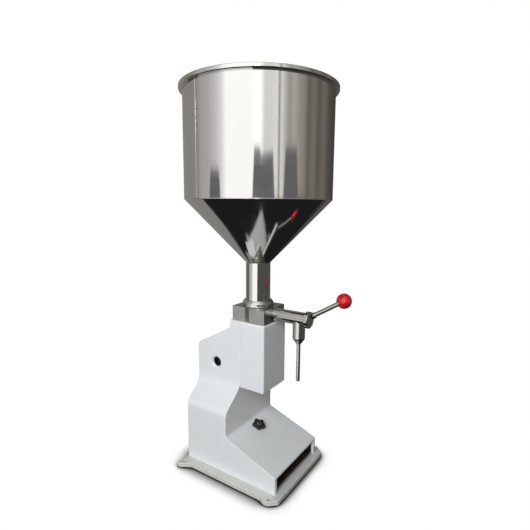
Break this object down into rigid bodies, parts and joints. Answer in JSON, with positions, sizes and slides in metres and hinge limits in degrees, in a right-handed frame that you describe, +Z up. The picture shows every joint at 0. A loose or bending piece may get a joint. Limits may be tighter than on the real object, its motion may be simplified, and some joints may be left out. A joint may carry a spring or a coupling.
{
  "type": "piston liquid filler",
  "caption": "Hand-worked bench filler: stainless hopper over a rotary valve and vertical piston pump, front spout, drip ramp, and two ball levers.",
  "frame": {"origin": "on the floor, at the underside of the base plate, straight under the hopper's axis", "axes": "+Z up along the hopper's axis, -Y to the front where the spout is, +X to the operator's right"},
  "size_m": [0.317, 0.3412, 0.8332],
  "materials": {
    "white_paint": "semi-gloss white paint over cast iron",
    "polished_steel": "mirror-polished stainless steel",
    "satin_steel": "ground stainless steel",
    "bright_steel": "bright turned steel",
    "black_steel": "blackened steel",
    "bush_bronze": "oil-filled sintered bronze",
    "seal_rubber": "moulded nitrile rubber",
    "red_ball": "polished red phenolic",
    "black_knob": "moulded black plastic"
  },
  "bodies": {
    "frame": {"base_plate": "white_paint", "base_screw_1": "bright_steel", "base_screw_2": "bright_steel", "base_screw_3": "bright_steel", "base_screw_4": "bright_steel", "main_casing": "white_paint", "rear_cover": "white_paint", "rear_cover_screw_1": "bright_steel", "rear_cover_screw_2": "bright_steel", "rear_cover_screw_3": "bright_steel", "rear_cover_screw_4": "bright_steel", "front_housing": "white_paint", "cylinder": "satin_steel", "cylinder_gasket": "seal_rubber", "clamp_screw_1": "bright_steel", "clamp_screw_2": "bright_steel", "clamp_screw_3": "bright_steel", "clamp_screw_4": "bright_steel", "shaft_bush_left": "bush_bronze", "shaft_bush_right": "bush_bronze", "valve_block": "satin_steel", "outlet_tube": "polished_steel", "nozzle_body": "polished_steel", "nozzle_tube": "polished_steel", "hopper_gasket": "seal_rubber", "hopper_collar": "polished_steel", "hopper_neck": "polished_steel", "hopper_cone": "polished_steel", "hopper_barrel": "polished_steel", "hopper_rim": "polished_steel", "ramp_knob_stud": "bright_steel"},
    "drive": {"drive_shaft": "bright_steel", "rocker_arm": "black_steel", "rocker_key": "bright_steel", "lever_hub": "bright_steel", "lever_set_screw": "black_steel", "drive_lever_rod": "bright_steel", "drive_lever_ball": "black_knob"},
    "pump": {"piston": "satin_steel", "piston_seal_lower": "seal_rubber", "piston_seal_upper": "seal_rubber", "piston_rod": "satin_steel", "crosshead_pin": "bright_steel", "pin_clip_left": "bright_steel", "pin_clip_right": "bright_steel"},
    "valve": {"valve_spool": "satin_steel", "spool_seal_front": "seal_rubber", "spool_seal_rear": "seal_rubber", "spool_cap": "polished_steel", "spool_nut": "bright_steel", "valve_lever_rod": "bright_steel", "valve_lever_ball": "red_ball"},
    "lid": {"hopper_lid": "polished_steel", "lid_knob": "black_knob", "lid_screw": "bright_steel"},
    "knob": {"ramp_knob": "black_knob", "ramp_knob_insert": "bright_steel"}
  },
  "joints": [
    {"name": "drive_hinge", "type": "hinge", "parent": "frame", "child": "drive", "pos_m": [0, 0.0835, 0.228], "axis": [1, 0, 0], "range_deg": [0, 30]},
    {"name": "piston_slide", "type": "slide", "parent": "frame", "child": "pump", "axis": [0, 0, -1], "range_m": [0, 0.0448]},
    {"name": "valve_hinge", "type": "hinge", "parent": "frame", "child": "valve", "pos_m": [0, -0.122, 0.348], "axis": [0, -1, 0], "range_deg": [0, 90]},
    {"name": "lid_lift", "type": "slide", "parent": "frame", "child": "lid", "axis": [0, 0, 1], "range_m": [0, 0.12]},
    {"name": "knob_turn", "type": "hinge", "parent": "frame", "child": "knob", "pos_m": [0, -0.002, 0.08187], "axis": [0, -0.3334, 0.9428], "continuous": true}
  ],
  "couplings": [
    {"joint": "piston_slide", "follows": "drive_hinge", "m_per_rad": 0.08546}
  ]
}
